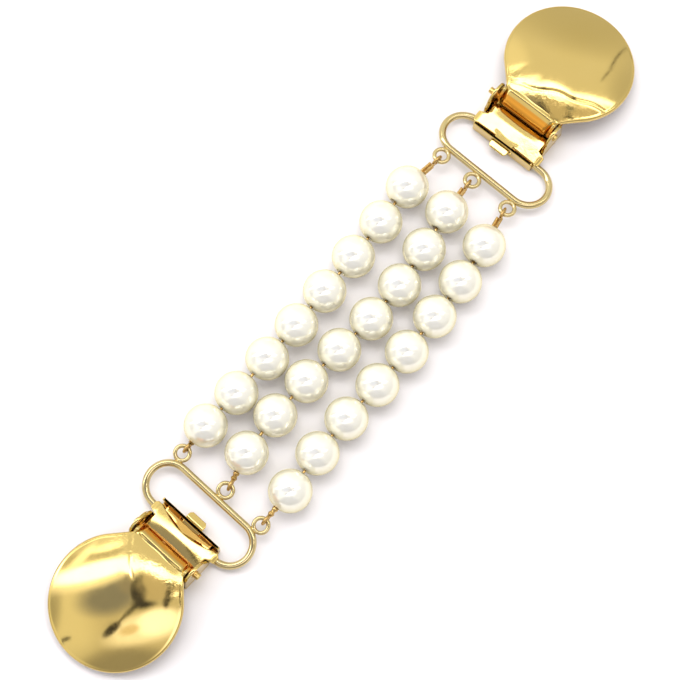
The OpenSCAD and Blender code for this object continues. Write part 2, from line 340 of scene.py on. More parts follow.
gold = {
    "deep": (0.645, 0.467, 0.145),
    "pale": (0.667, 0.497, 0.178),
    # painted reflection: the amber that gold mirrored in gold would show, put into the base colour
    "warm": (0.74, 0.33, 0.045),
    "cloudScale": 90.0,
    # the part of the scuffs' noise that spans the roughness
    "scuffScale": 900.0,
    "scuffRange": (0.35, 0.75),
    "roughness": (0.07, 0.13),
    # strength and full depth in metres
    "rippleScale": 190.0,
    "ripple": 0.07,
    "rippleDepth": 0.0001,
    "pitScale": 900.0,
    "pits": 0.1,
    "pitDepth": 0.0003,
}
wireGold = {
    **gold,
    "deep": (0.56, 0.435, 0.185),
    "pale": (0.68, 0.55, 0.28),
    "roughness": (0.09, 0.15),
    "ripple": 0.15,
}
stringGold = {
    **gold,
    "deep": (0.4, 0.235, 0.065),
    "pale": (0.68, 0.47, 0.18),
    "roughness": (0.1, 0.2),
    "cloudScale": 600.0,
    "rippleScale": 1100.0,
    "ripple": 1.0,
}
pearl = {
    "cream": (0.86, 0.865, 0.98),
    "milk": (0.89, 0.895, 1.0),
    "coatTint": (0.985, 0.96, 0.79),
    "coatIor": 1.1,
    "coatRoughness": 0.05,
    "edgeTint": (0.8, 0.72, 0.42),
    "cloudScale": 160.0,
    "dappleScale": 420.0,
    "dappleRange": (0.3, 0.7),
    "roughness": (0.03, 0.07),
    "nacre": 0.45,
    "ior": 2.1,
    # how much light goes in, and how far in metres
    "glow": 0.08,
    "glowReach": (0.0012, 0.0011, 0.0009),
}
goldPlate = goldMaterial("goldPlate", gold)
goldWire = goldMaterial("goldWire", wireGold)
goldString = goldMaterial("goldString", stringGold)
pearlCoat = pearlMaterial("pearlCoat", pearl)
print("materials made")

# Pearls and strings.

layout = {
    "shift": (-0.24, 0.86),
    "pitch": 8.3,
    "pearlR": 4.0,
    "boreR": 0.7,
    # how far the bore's rim is cut back into the sphere, and the rim's lip: out, down, and its whole depth
    "rimCut": 0.16,
    "lip": (0.04, 0.06, 0.2),
    # x in steps of the pitch and y in mm, from clip A to clip B
    "left": [
        (-3.67, 8.6), (-2.69, 8.2), (-1.67, 8.0), (-0.68, 7.9),
        (0.31, 8.0), (1.33, 8.1), (2.34, 8.4), (3.35, 8.9),
    ],
    "middle": [
        (-3.57, -0.3), (-2.54, 0.1), (-1.52, -0.2), (-0.52, -1.1),
        (0.47, -1.9), (1.46, -1.9), (2.45, -1.1), (3.45, 0.2),
    ],
    "right": [
        (-3.62, -10.8), (-2.61, -10.2), (-1.62, -10.2), (-0.61, -10.6),
        (0.38, -10.8), (1.39, -10.6), (2.37, -10.1), (3.36, -9.2),
    ],
}
rowNames = ["left", "middle", "right"]
shift = np.array([*layout["shift"], 0.0])


def pearlCentres(row):
    # x = steps * pitch, y as listed, z = R, so that each pearl lies on the table
    steps, y = np.array(layout[row]).T
    return np.stack([steps * layout["pitch"], y, np.full(len(y), layout["pearlR"])], -1) + shift


def pearlSolid(centre, along):
    # a sphere turned about its drill line: radius R sin t at height R cos t, from the hole's rim round to
    # the other rim, and back through the bore; the rims are softened with a small lip
    bore, r = layout["boreR"], layout["pearlR"]
    lipOut, lipDown, lipDepth = layout["lip"]
    t0 = np.arcsin((bore + layout["rimCut"]) / r)
    t = np.linspace(t0, np.pi - t0, 40)
    top = r * np.cos(t0)
    ring = np.concatenate([[bore, bore + lipOut], r * np.sin(t), [bore + lipOut, bore]])
    rim = np.array([top - lipDepth, top - lipDown])
    height = np.concatenate([rim, r * np.cos(t), -rim[::-1]])
    a = around(56)
    z = along / np.linalg.norm(along)
    x = unit(np.cross(z, [0, 0, 1.0]))
    y = np.cross(z, x)
    circle = np.cos(a)[:, None] * x + np.sin(a)[:, None] * y
    return solid(centre + ring[:, None, None] * circle + height[:, None, None] * z, True)


loop = {
    "wireR": 0.675,
    "depth": 8.2,
    "half": 7.675,
    "ringR": 1.35,
    "ringWireR": 0.4,
    "barZ": 1.375,
    "eyeZ": 3.2,
    # how far a ring is sunk into the bar
    "sunk": 0.2,
    # bead of solder at a ring: radius, half its length, half the length of the whole oval, way from the ring
    "solder": (0.42, 0.45, 0.62, 0.1),
    # x and y of the hidden bar, turn, places of the rings along the bar
    "a": (-47.4, -0.3, -3.5, (9.7, -0.7, -9.7)),
    "b": (47.0, -0.3, -1.5, (8.0, 0.6, -7.9)),
}
# the way from the outer bar to the middle of a ring, and the slant that lifts the strings to the pearls
loop["step"] = loop["ringR"] + loop["wireR"] + loop["ringWireR"] - loop["sunk"]
loop["lean"] = np.arcsin((loop["eyeZ"] - loop["barZ"]) / (loop["depth"] + loop["step"] + loop["ringR"]))


def onLoop(end, d, b, h=0.0):
    # across the loop d, along its bar b and off its plane h: turned by the lean, then by the end's own turn
    barX, barY, turn, _ = loop[end]
    d, b, h = np.broadcast_arrays(np.asarray(d, float), np.asarray(b, float), np.asarray(h, float))
    c, s, t = np.cos(loop["lean"]), np.sin(loop["lean"]), np.radians(turn)
    x = -np.sign(barX) * (d * c - h * s)
    return np.stack([
        barX + x * np.cos(t) - b * np.sin(t),
        barY + x * np.sin(t) + b * np.cos(t),
        loop["barZ"] + d * s + h * c,
    ], -1) + shift


def ringAcross(b):
    # how far across the loop a ring's middle is: past the straight bar it follows the half circle
    depth, step = loop["depth"], loop["step"]
    past = max(abs(b) - loop["half"], 0)
    return depth / 2 + np.sqrt((depth / 2 + step) ** 2 - past**2) if past else depth + step


def eyePoint(end, k):
    # where the eye of string k hangs in its ring
    b = loop[end][3][k]
    return onLoop(end, ringAcross(b) + loop["ringR"], b)


def loopSolids(end):
    # stadium line: two straight bars and two half circles, then a ring of wire at each string
    r, half = loop["depth"] / 2, loop["half"]
    bar = np.linspace(-half, half, 40)
    a = np.radians(np.linspace(0, 180, 40))[1:-1]
    d = np.concatenate([0 * bar, r - r * np.cos(a), 2 * r + 0 * bar, r + r * np.cos(a)])
    b = np.concatenate([bar, half + r * np.sin(a), bar[::-1], -half - r * np.sin(a)])
    normal = onLoop(end, 0, 0, 1) - onLoop(end, 0, 0)
    parts = [tube(onLoop(end, d, b), loop["wireR"], normal, 24, closed=True)]
    turn = around(40)
    solderR, solderHalf, oval, away = loop["solder"]
    bead = np.linspace(-solderHalf, solderHalf, 5)
    for place in loop[end][3]:
        across = ringAcross(place)
        line = onLoop(end, across + loop["ringR"] * np.cos(turn), place + loop["ringR"] * np.sin(turn))
        parts.append(tube(line, loop["ringWireR"], normal, 14, closed=True))
        outwards = unit(np.array([across - r, place - np.sign(place) * min(abs(place), half)]))
        middle = np.array([across, place]) - outwards * (loop["ringR"] + away)
        line = onLoop(end, middle[0] - outwards[1] * bead, middle[1] + outwards[0] * bead)
        parts.append(tube(line, solderR * np.sqrt(1 - (bead / oval) ** 2), normal, 12))
    return parts


for end in "ab":
    name = f"wireLoop{end.upper()}"
    makePiece(name, loopSolids(end), goldWire, "strands", [f"loop_{end}"], "gold_plate")
print("wire loops made")

for k, row in enumerate(rowNames):
    centres = pearlCentres(row)
    stops = np.concatenate([eyePoint("a", k)[None], centres, eyePoint("b", k)[None]])
    # each bead is drilled midway between the ways to its two neighbours
    drill = unit(stops[2:] - centres) - unit(stops[:-2] - centres)
    pearls = [pearlSolid(c, d) for c, d in zip(centres, drill)]
    nodes = [f"pearl_{row}_{i}" for i in range(1, 9)]
    makePiece(f"pearls{row.title()}", pearls, pearlCoat, "strands", nodes, "pearl_coat", sharp=60)
print("pearls made")

string = {
    "wireR": 0.28,
    # an eye is an oval, a little longer than wide
    "eyeR": 0.85,
    "eyeLong": 1.12,
    "eyeWireR": 0.3,
    # gap between the last pearl and the crimp
    "gap": 0.12,
    # round crimp: radius, the share of it at a waist, and how many half waves of swell it has
    "crimp": (0.62, 0.62, 1.6),
    # flat crimp: width and thickness of a flap, its rounded edge, how far the middle of the fold is from the
    # eye, shift of each flap outwards and up, then which flap and its lean
    "flap": (1.9 * 0.72, 0.9 * 0.4, 0.1),
    "foldAt": 0.58,
    "flapShift": (0.12, 0.2),
    # a flap's length: the share of the way from eye to pearl, its least value, and a factor on both
    "flapLong": (0.95, 0.9, 0.9),
    "flaps": ((1, 0.85), (-1, 0.6)),
}


def boxSolid(centre, x, y, z, sizes, edge):
    # a rounded rectangle carried along x, with rounded ends
    half = np.array(sizes) / 2
    s = np.linspace(-half[0] + edge, half[0] - edge, 6)
    points = strip(np.stack([s, 0 * s], -1), half[1], 2 * half[2], edge, 6)
    return solid(centre + points[..., :1] * x + points[..., 1:2] * y + points[..., 2:] * z)


def stringSolids(row, k):
    # wire from eye to eye through the pearls, an eye hooked through each ring, a round crimp at clip A
    # and a flat folded one at clip B
    centres = pearlCentres(row)
    parts, starts = [], []
    up = np.array([0, 0, 1.0])
    a = around(32)
    for end, pearlPoint in (("a", centres[0]), ("b", centres[-1])):
        eye = eyePoint(end, k)
        toward = unit(pearlPoint - eye)
        side = unit(np.cross(up, toward))
        upright = np.cross(toward, side)
        oval = string["eyeLong"] * np.cos(a)[:, None] * toward + np.sin(a)[:, None] * upright
        parts.append(tube(eye + string["eyeR"] * oval, string["eyeWireR"], side, 12, closed=True))
        start = eye + toward * string["eyeR"]
        stop = pearlPoint - toward * (layout["pearlR"] + string["gap"])
        starts.append(start)
        if end == "a":
            crimpR, waist, waves = string["crimp"]
            t = np.linspace(0.05, 1, 9)[:, None]
            swell = waist + (1 - waist) * np.sin(np.pi * t[:, 0] * waves) ** 2
            parts.append(tube(start * (1 - t) + stop * t, crimpR * swell, up, 14))
            continue
        wide, thick, edge = string["flap"]
        out, rise = string["flapShift"]
        share, least, factor = string["flapLong"]
        long = factor * max(share * np.linalg.norm(stop - start), least)
        mid = start * (1 - string["foldAt"]) + stop * string["foldAt"]
        for flap, lean in string["flaps"]:
            across = side * np.cos(lean) + upright * flap * np.sin(lean)
            normal = np.cross(toward, across)
            middle = mid + (across * out + upright * rise) * flap
            parts.append(boxSolid(middle, toward, across, normal, (long, wide, thick), edge))
    line = np.concatenate([starts[:1], centres, starts[1:]])
    line = sampled(line, np.arange(len(line)), np.linspace(0, len(line) - 1, 60))
    parts.append(tube(line, string["wireR"], up, 10))
    return parts


for k, row in enumerate(rowNames):
    name = f"string{row.title()}"
    makePiece(name, stringSolids(row, k), goldString, "strands", [f"string_{row}"], "string_gold")
print("strings made")

# Clips.

clip = {
    # side, turn, x and y of the origin, rear of the wall, rear of the jaw's plate and its scoop
    "a": (-1, -3.2, -47.5, -0.7, -2.1, -1.0, 1.45),
    "b": (1, 0.0, 47.95, 0.55, -2.4, -1.4, 0.1),
    "sheet": 0.6,
    # sheets that cross differ by this much, so that no two faces lie in one plane
    "hair": 0.02,
    "pivot": (4.4, 5.0),
    "earsInside": 12.9,
    "plateZ": 2.2,
    "reach": 22.4,
    "jawHalf": 5.9,
    "teeth": 7,
    # height of a tooth, half its length, and the share of its width and of its length lost at its point
    "tooth": (0.8, 0.27, 0.78, 0.3),
}


def clipAxes(end):
    # where a clip's own s, v, z start, and which way s and v run on the table
    side, turn, x, y = clip[end][:4]
    t = np.radians(turn + (180 if side < 0 else 0))
    along, across = np.array([np.cos(t), np.sin(t), 0]), np.array([-np.sin(t), np.cos(t), 0])
    return np.array([x, y, 0]) + shift, along, across


def place(end, parts):
    # from the clip's own s, v, z to the table
    origin, along, across = clipAxes(end)
    matrix = np.array([along, across, [0, 0, 1]])
    return [outward(p[0] @ matrix + origin, p[1], p[2]) for p in parts]


def clipPoint(end, verts):
    # from the table back to the clip's own s, v, z
    origin, along, across = clipAxes(end)
    return (verts - origin) @ along, (verts - origin) @ across, verts[:, 2]


def rayOutline(corners, centre, count=96):
    # R(angle) of a closed outline about the centre, with its corners a little rounded
    corners = np.asarray(corners, float)
    outline = np.concatenate([corners, corners[:1]])
    length = lengthAlong(outline)
    line = sampled(outline, length, np.linspace(0, length[-1], 1200, endpoint=False)) - centre
    bearing = np.arctan2(line[:, 1], line[:, 0])
    order = np.argsort(bearing)
    r = np.hypot(line[:, 0], line[:, 1])[order]
    r = np.interp(around(count), bearing[order], r, period=2 * np.pi)
    kernel = np.hanning(5)
    return np.convolve(np.concatenate([r[-2:], r, r[:2]]), kernel / kernel.sum(), "valid")


def plateWithHole(outlineR, hole, centre, y0, thick, edge=0.12):
    # a flat plate seen from the side: round hole inside, outline R(angle) outside, joined by straight rays;
    # each row is a share of the way out, a shift of it, and a depth in from the plate's side
    angle = around(len(outlineR))
    t = np.radians([0, 45, 90])
    soft, rise = edge * (1 - np.cos(t)), edge * (1 - np.sin(t))
    inside = [(0, soft[k], rise[k]) for k in (0, 1, 2)]
    outside = [(1, -soft[k], rise[k]) for k in (2, 1, 0)]
    half = inside + [(0.35, 0, 0), (0.7, 0, 0)] + outside
    rows = [(f, d, y0 + e) for f, d, e in half] + [(f, d, y0 + thick - e) for f, d, e in half[::-1]]
    f, d, y = (np.array(c)[:, None] for c in zip(*rows))
    reach = hole + f * (outlineR - hole) + d
    s, z = centre[0] + reach * np.cos(angle), centre[1] + reach * np.sin(angle)
    points = np.stack([s, y + 0 * reach, z], -1)
    return solid(points.transpose(1, 0, 2), True)


def teeth(s, z, up):
    # small ridges side by side: the width of each goes from the pitch down to a point while it rises
    height, half, lostWidth, lostLength = clip["tooth"]
    pitch = 2 * clip["jawHalf"] / clip["teeth"]
    t = np.linspace(0, 1, 5)[:, None]
    v, w = np.array([(-1, -1), (1, -1), (1, 1), (-1, 1)]).T
    ridges = []
    for k in range(clip["teeth"]):
        points = np.stack([
            s + half * (1 - lostLength * t) * w,
            -clip["jawHalf"] + (k + 0.5) * pitch + pitch / 2 * (1 - lostWidth * t) * v,
            z + up * height * t + 0 * w,
        ], -1)
        ridges.append(solid(points))
    return ridges


base = {
    "floorRear": 1.5,
    "floorHalf": 6.9,
    # where the floor starts to narrow to the jaws, and where it has
    "narrows": (7.2, 7.9),
    # rear wall: half width, top, lowest end of the posts, and where its lip starts
    "wall": (6.8, 3.6, 0.9, 3.1),
    # two posts leave the tongue's slot between them: half width, middle
    "post": (2.25, 4.55),
    # the wall's foot: its top, its front, radius of its bend
    "sill": (1.45, 1.9, 0.7),
    # the ears' rear and front, and the channel that carries them: top, radius of its bends
    "ears": (1.2, 7.1),
    "channel": (1.5, 0.8),
    # an ear's outline: foot, top of the front corner, top of the rear corner, round top, hole for the nub
    "earZ": (1.0, 1.6, 3.0),
    "earR": 2.4,
    "holeR": 0.82,
    # the teeth: how far behind the front edge, and the height they start from
    "teeth": (0.3, 0.55),
}


def baseSolids(end):
    # strips of sheet along bent lines, two ears that are plates with a hole, and a row of teeth
    sheet, hair, inside = clip["sheet"], clip["hair"], clip["earsInside"] / 2
    level, mid = sheet / 2, inside + sheet / 2
    wall = clip[end][4] + level
    wallHalf, top, postFoot, lipZ = base["wall"]
    # floor with its upturned rear wall; the tongue's slot is left between the two posts
    floor = bend([(base["floorRear"], level), (clip["reach"] - sheetEdge, level)], 0.3)
    start, stop = base["narrows"]
    wider = np.clip((stop - floor[:, 0]) / (stop - start), 0, 1)
    width = clip["jawHalf"] + (base["floorHalf"] - clip["jawHalf"]) * wider
    parts = [solid(strip(floor, width, sheet - hair))]
    sillTop, sillFront, radius = base["sill"]
    sill = bend([(wall, sillTop), (wall, level), (sillFront, level)], radius)
    parts.append(solid(strip(sill, wallHalf, sheet)))
    post = bend([(wall, top - 0.2), (wall, postFoot)], 0.3)
    postHalf, postAt = base["post"]
    for side in (-1, 1):
        parts.append(solid(strip(post, postHalf, sheet - hair) + np.array([0, side * postAt, 0])))
    lip = bend([(wall, lipZ), (wall, top - 0.12)], 0.2)
    parts.append(solid(strip(lip, wallHalf, sheet - 2 * hair, edge=0.24)))
    # channel that carries the ears: the same sheet bent up at both sides, so its line runs along v
    rear, front = base["ears"]
    channelTop, radius = base["channel"]
    corners = [(-mid, channelTop), (-mid, level), (mid, level), (mid, channelTop)]
    points = strip(bend(corners, radius), (front - rear) / 2, sheet) + np.array([0, (rear + front) / 2, 0])
    parts.append(solid(points[..., [1, 0, 2]]))
    ps, pz = clip["pivot"]
    a = np.radians(np.linspace(0, 180, 24))
    arch = np.stack([ps + base["earR"] * np.cos(a), pz + base["earR"] * np.sin(a)], -1)
    foot, frontZ, rearZ = base["earZ"]
    outline = np.concatenate([[(rear, foot), (front, foot), (front, frontZ)], arch, [(rear, rearZ)]])
    r = rayOutline(outline, (ps, pz))
    for y0 in (-inside - sheet + hair, inside + hair):
        parts.append(plateWithHole(r, base["holeR"], (ps, pz), y0, sheet - 2 * hair))
    behind, toothZ = base["teeth"]
    return parts + teeth(clip["reach"] - behind, toothZ, 1)


jaw = {
    # clearance of its front end, height of the sheet there, and where the plate goes down to it
    "shorter": 0.3,
    "lowZ": 2.0,
    "ramp": (3.7, 5.4),
    # wide shoulders at the rear, then narrower between the ears, and a little more so at the front
    "shoulderHalf": 7.7,
    "plateHalf": 6.1,
    "shoulderEnds": (0.75, 1.15),
    "frontLess": 0.2,
    "frontFrom": (4.0, 6.0),
    # rounded rear corners of the shoulders: how far in from the rear, then across and along
    "corner": (0.55, 0.55, 0.5),
    # its rear edge is hollowed by the clip's scoop, which fades out forwards up to here
    "hollowTo": 3.0,
    # the plate is bowed across the clip over this half width, by this much
    "bowHalf": 6.2,
    "bow": 0.16,
    "bowEnds": (3.6, 1.6),
    # it sinks to the rear from here on: with the square of the way on clip A, evenly on clip B
    "sinksFrom": 3.2,
    "sinkA": (0.016, 2),
    "sinkB": (0.068, 1),
    # the shoulders wrap down over the wire
    "wrap": 0.35,
    "wrapFrom": (6.4, 7.8),
    # tongue: depths of its root, middle and tip below the plate; where its middle, its hook and its tip
    # are; half widths, where the one goes over into the other, its rounded tip, its shift across
    "tongueA": (0.62, 0.45, 0.3),
    "tongueB": (0.06, 0.0, 0.13),
    "tongueS": (-1.6, -2.3, -3.55),
    "tongueHalf": (2.0, 2.8),
    "tongueWidens": (-1.2, -0.7),
    "tongueTip": (2.95, 0.7, 0.75),
    "tongueShift": 0.25,
    # strip of metal in the hollow of clip A's plate: half widths, where the one goes over into the other,
    # thickness, rise of its sides
    "stripHalf": (5.35, 5.95),
    "stripWidens": (0.2, 1.4),
    "stripThick": 0.4,
    "stripRise": (0.3, 5.6),
}


def rounding(x, start, length, depth):
    # a quarter of an ellipse: 0 before start, depth at length beyond it
    return depth * (1 - np.sqrt(1 - np.clip((x - start) / length, 0, 1) ** 2))


def jawSolids(end):
    # a strip whose half width changes along s; its points then move by the hollow of its rear edge, a
    # cosine bow across, a fall to the rear that is a power of the way, and the wrap of the shoulders
    wallRear, rear, scoop = clip[end][4:7]
    upper = end.upper()
    z, low = clip["plateZ"] + clip["sheet"] / 2, jaw["lowZ"]
    front = clip["reach"] - clip["sheet"] - jaw["shorter"]
    start, stop = jaw["ramp"]
    line = bend([(rear + 0.1, z), (rear + 0.9, z), (start, z), (stop, low), (front - 0.1, low)], 0.9, 0.2)
    s = line[:, 0]
    cornerIn, across, along = jaw["corner"]
    shoulder = jaw["shoulderHalf"] - rounding(-s, -rear - cornerIn, along, across)
    wide, narrow = jaw["shoulderEnds"]
    more = jaw["shoulderHalf"] - jaw["plateHalf"]
    half = np.where(s < wide, shoulder, jaw["plateHalf"] + more * fade(s, narrow, wide))
    half = half - jaw["frontLess"] * fade(s, *jaw["frontFrom"])
    points = strip(line, half, clip["sheet"], across=60)
    s, v, height = (points[..., k] for k in range(3))
    hollow = scoop * np.clip(1 - (v / jaw["bowHalf"]) ** 2, 0, 1)
    s += hollow * np.clip((jaw["hollowTo"] - s) / (jaw["hollowTo"] + 0.1 - rear), 0, 1)
    height += fade(s, *jaw["bowEnds"]) * jaw["bow"] * np.cos(np.clip(v / jaw["bowHalf"], -1, 1) * np.pi / 2)
    sink, power = jaw["sink" + upper]
    height -= sink * np.clip(jaw["sinksFrom"] - s, 0, None) ** power
    height -= jaw["wrap"] * fade(np.abs(v), *jaw["wrapFrom"]) ** 2
    parts = [solid(points)]
    # tongue through the slot of the rear wall, hooked under its lip
    root = rear + scoop + 0.2
    atRoot, atMiddle, atTip = jaw["tongue" + upper]
    middle, hook, tip = jaw["tongueS"]
    tongue = bend([
        (root + 0.9, z - atRoot), (root, z - atRoot), (middle, z - atMiddle),
        (hook, z - 0.05), (tip, z - atTip),
    ], 0.4, 0.12)
    narrow, wide = jaw["tongueHalf"]
    half = narrow + (wide - narrow) * fade(tongue[:, 0], *jaw["tongueWidens"])
    half = half - rounding(-tongue[:, 0], *jaw["tongueTip"])
    points = strip(tongue, half, clip["sheet"] - 3 * clip["hair"])
    parts.append(solid(points + np.array([0, jaw["tongueShift"], 0])))
    if end == "a":
        line = bend([
            (root + 1.3, z - 0.08), (root - 0.1, z - 0.15), (-0.6, z - 0.35), (wallRear + 0.6, z - 0.5),
        ], 0.5, 0.12)
        narrow, wide = jaw["stripHalf"]
        half = narrow + (wide - narrow) * fade(line[:, 0], *jaw["stripWidens"])
        points = strip(line, half, jaw["stripThick"], across=30)
        rise, riseHalf = jaw["stripRise"]
        sides = rise * (points[..., 1] / riseHalf) ** 2
        points[..., 2] += sides * fade(points[..., 0], rear + scoop, rear + scoop - 1.2)
        parts.insert(1, solid(points))
    return parts + teeth(front - 0.3, low - 0.25, -1)


face = {
    "r": 12.5,
    "rise": 2.3,
    "slope": 11.0,
    "curl": 0.5,
    # short straight hem below the curled rim
    "hem": 0.3,
    "domeR": 11.7,
    "centre": (17.7, 4.72),
    "neckHalf": 6.1,
    # length of the neck's straight sides, how much they spread, and degrees from the rear where its flares
    # meet the circle
    "neckSide": (0.8, 0.05),
    "flare": 52.0,
    # the neck's pressed flat: its height, how far from the middle, its fall to the rear, its crown across
    "flat": (0.62, 6.5, 0.045, 0.12),
    # where the neck's pressed flat meets the dome: start, slant, hook, sideways place, width and depth of the
    # bend, then depth of the fine fold along it and how far across it runs
    "creaseA": (3.1, 0.0, 0.88, 2.5, 3.2, 0.05, 0.045, 0.6),
    "creaseB": (8.8, 0.42, 0.0, 0.0, 1.7, 0.08, 0.05, 5.5),
    # how far in from the neck's sides its back starts, and where it is whole
    "backFrom": (0.25, 1.05),
    # the neck's back in s and z, from its top edge down to the rolled edge that presses on the jaw
    "back": [(5.35, 7.05), (4.3, 6.2), (3.72, 5.2), (3.62, 4.3), (3.95, 3.35)],
}


def faceOutline(count):
    # R over the angle from the rear: the straight rear edge of the neck, its short parallel sides, the
    # straight flares that meet the circle, and the circle
    r, half = face["r"], face["neckHalf"]
    long, spread = face["neckSide"]
    arc = np.radians(np.linspace(face["flare"], 360 - face["flare"], 120))
    circle = np.stack([r * np.cos(arc), r * np.sin(arc)], -1)
    neck = [(r, -half), (r, half), (r - long, half + spread)]
    return rayOutline(np.concatenate([neck, circle, [(r - long, -half - spread)]]), (0.0, 0.0), count)


def faceHeight(p, q, end):
    # dome: rise (1 - (rho / r0)^2); behind the crease it is pressed to a flatter neck with faint waves
    rho = np.hypot(p, q)
    dome = face["rise"] * (1 - (rho / face["domeR"]) ** 2)
    start, slant, hook, sideways, wide, depth, fold, reach = face["crease" + end.upper()]
    # the crease runs across: slanted, or hooked like a branch of a hyperbola, and it wanders a little
    line = start + slant * q + hook * np.sqrt((q - sideways) ** 2 + 0.77) + 0.25 * np.sin(0.9 * q + 0.4)
    into = fade(-p, line - wide / 2, line + wide / 2)
    height, away, fall, crown = face["flat"]
    flat = height - fall * (-p - away) + crown * np.cos(0.5 * q)
    flat = dome * (1 - depth) + flat * depth
    waves = 0.05 * np.sin(0.75 * q + 0.5 * p) + 0.04 * np.sin(1.1 * p - 0.4 * q + 1.0)
    fold = fold * np.exp(-(((-p - line) / 0.2) ** 2)) * fade(q, reach, reach - 2)
    return dome * (1 - into) + (flat + depth * waves * into) * into - fold


def leverSheet(end):
    # polar grid over the face: rows go out from the middle, over the dome, round the curled rim and, at the
    # rear, on down the neck's back to the rolled edge that presses on the jaw; a second skin lies one sheet
    # thickness inside, along the surface's own normal
    count, extra, lipOut = 240, 14, 0.12
    angle = around(count)
    big, curl = faceOutline(count), face["curl"]
    inner = np.concatenate([np.linspace(0.015, 0.9, 44), np.linspace(0.915, 0.985, 8)])
    rim = np.radians([*np.linspace(10, 90, 8), 90])
    share = np.concatenate([inner, np.ones(len(rim))])[:, None]
    out = np.concatenate([0 * inner, curl * np.sin(rim)])[:, None]
    drop = np.concatenate([0 * inner, curl * (1 - np.cos(rim))])[:, None]
    drop[-1] += face["hem"]
    reach = (big - curl) * share
    p, q = -np.cos(angle) * reach, np.sin(angle) * reach
    z = faceHeight(p, q, end) - drop
    p, q = p - np.cos(angle) * out, q + np.sin(angle) * out
    slope = np.radians(face["slope"])
    s = face["centre"][0] + p * np.cos(slope) + z * np.sin(slope)
    h = face["centre"][1] - p * np.sin(slope) + z * np.cos(slope)
    # the neck's back: some rows are added, each a little lower than the one before, and from the rim on
    # they follow its line where "back" is 1
    first = len(inner)
    down = bend([(s[first, 0], h[first, 0]), *face["back"]], 0.3, 0.3)
    length = lengthAlong(down)
    line = sampled(down, length, np.linspace(0, length[-1], len(rim) + extra))
    rows = np.minimum(np.arange(len(s) + extra), len(s) - 1)
    s, h, q = s[rows], h[rows], q[rows]
    h[-extra:] -= np.linspace(0.01, 0.06, extra)[:, None]
    sideways = np.abs(np.sin(angle) * big)
    start, whole = face["backFrom"]
    back = fade(sideways, face["neckHalf"] - start, face["neckHalf"] - whole) * (np.cos(angle) > 0.5)
    # the rear edge's own shape is kept at the top and fades out downwards
    edge = s[first - 1] - s[first - 1, 0]
    backS = line[:, :1] + edge * np.linspace(0.6, 0, len(line))[:, None]
    s[first:] = s[first:] * (1 - back) + backS * back
    h[first:] = h[first:] * (1 - back) + line[:, 1:] * back
    q[first:] = q[first:] * (1 - back) + q[first - 1] * back
    top = np.stack([s, q, h], -1)
    du = np.gradient(top, axis=0)
    dv = (np.roll(top, -1, 1) - np.roll(top, 1, 1)) / 2
    normal = unit(np.cross(du, dv))
    under = top - np.sign(normal[0, 0, 2]) * normal * clip["sheet"]
    lip = (top[-1] + under[-1]) / 2 + unit(du[-1]) * lipOut
    return solid(np.concatenate([top, lip[None], under[::-1]]))


lever = {
    # face A is a little smaller than B, and B's neck a little longer: scale of the face, added length of the
    # neck, and where along s that sets in
    "pressedA": (0.982, -0.1),
    "pressedB": (1.0, 0.6),
    "pressedFrom": (3.7, 5.3),
    # side plates that join the neck to the nubs: outline, middle from the pivot, radius of the hole
    "side": [(4.35, 6.35), (3.72, 5.3), (3.7, 4.6), (4.2, 3.95), (5.3, 4.2), (6.6, 6.3), (5.6, 7.0)],
    "sideMiddle": (0.2, 0.3),
    "sideHole": 0.3,
    # a nub: a short hollow rivet, a little thinner than the solids' nub; its end is described by ways in
    # from its length and from its radius
    "nubR": 0.75 * 0.85,
    "nubRoot": 0.5,
    "rivet": [(0.12, 0.0), (0.03, 0.04), (0.0, 0.13), (0.0, 0.22), (0.03, 0.3), (0.35, 0.42)],
    "rivetFloor": (0.5, 0.05),
    # how far out the nubs reach, at -v and at +v
    "nubsA": (7.5, 8.0),
    "nubsB": (7.4, 8.2),
}


def leverSolids(end):
    # the sheet with its face scaled about the middle and its neck drawn out, two side plates, and two
    # nubs that are profiles turned about the pivot's line
    ps, pz = clip["pivot"]
    upper = end.upper()
    verts, faces, caps = leverSheet(end)
    scale, longer = lever["pressed" + upper]
    beyond = fade(verts[:, 0], *lever["pressedFrom"])
    verts[:, 0] += longer * beyond + (scale - 1) * beyond * (verts[:, 0] - face["centre"][0])
    verts[:, 1] *= 1 + (scale - 1) * beyond
    parts = [(verts, faces, caps)]
    half, sheet, nub = face["neckHalf"], clip["sheet"], lever["nubR"]
    middle = np.add(clip["pivot"], lever["sideMiddle"])
    r = rayOutline(lever["side"], middle)
    inEnd, inR = np.array(lever["rivet"]).T
    floorIn, floorR = lever["rivetFloor"]
    ring = np.concatenate([[nub], nub - inR, [floorR]])[:, None]
    a = around(28)
    for side, out in zip((-1, 1), lever["nubs" + upper]):
        y0 = half - sheet if side > 0 else -half
        parts.append(plateWithHole(r, lever["sideHole"], middle, y0, sheet))
        y = np.concatenate([[half - lever["nubRoot"]], out - inEnd, [out - floorIn]])[:, None]
        points = np.stack([ps + ring * np.cos(a), side * y + 0 * a, pz + ring * np.sin(a)], -1)
        parts.append(solid(points))
    return parts


# Masks: "mark" is how strongly the plating is pitted; the other mask is a painted reflection, how far the
# base colour turns to painted amber where the gold would mirror only gold. Their numbers are places in the
# clip's own s, v and z.


def neckMark(end, verts):
    # most on the neck, less towards its rear edge, none over the dome
    s, _, _ = clipPoint(end, verts)
    return fade(s, 11.5, 8.5) * fade(s, 6.2, 7.7)


def plateMark(end, verts):
    # on one half of the plate
    _, v, _ = clipPoint(end, verts)
    return 0.5 * fade(v * -clip[end][0], 0, 3.0)


def leverPaintedReflection(end, verts):
    # painted amber reflection on the neck's back, below its rounded rear edge
    s, v, z = clipPoint(end, verts)
    inside = np.abs(v) < face["neckHalf"] + 0.05
    return inside * fade(s, 5.3, 5.05) * fade(z, 6.95, 6.45)


